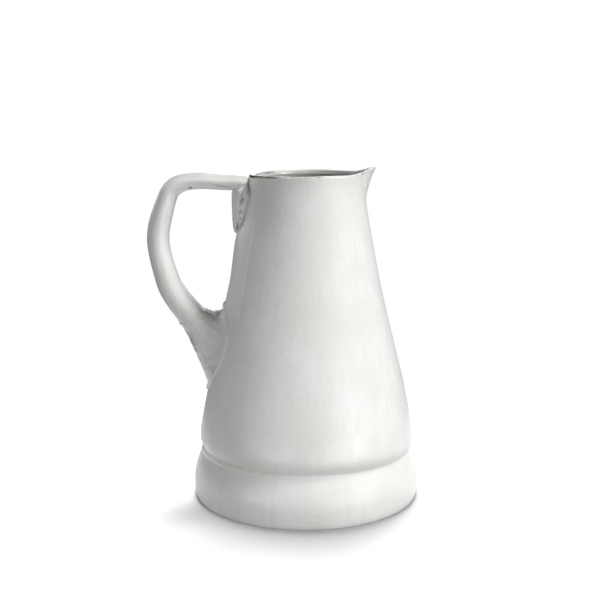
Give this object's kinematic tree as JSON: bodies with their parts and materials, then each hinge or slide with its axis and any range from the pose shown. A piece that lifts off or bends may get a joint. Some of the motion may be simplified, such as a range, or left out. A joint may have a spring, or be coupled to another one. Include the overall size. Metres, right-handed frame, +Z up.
{
  "type": "ceramic pitcher",
  "caption": "Handmade white-glazed pitcher with a cone-shaped body, thick foot band, small pouring beak and a loop handle.",
  "frame": {"origin": "centre of the foot, on the surface that the pitcher stands on", "axes": "+Z up along the axis of the body, +X towards the pouring beak, handle on -X"},
  "size_m": [0.1834, 0.1542, 0.224],
  "materials": {
    "white_glaze": "gloss",
    "lining_glaze": "gloss",
    "bare_clay": "matte"
  },
  "bodies": {
    "root": {"body_wall": "white_glaze", "foot_band": "white_glaze", "base_slab": "bare_clay", "inside_glaze": "lining_glaze", "spout_lip": "white_glaze", "handle_loop": "white_glaze", "handle_gusset": "white_glaze", "handle_root_pad": "white_glaze"}
  },
  "joints": []
}
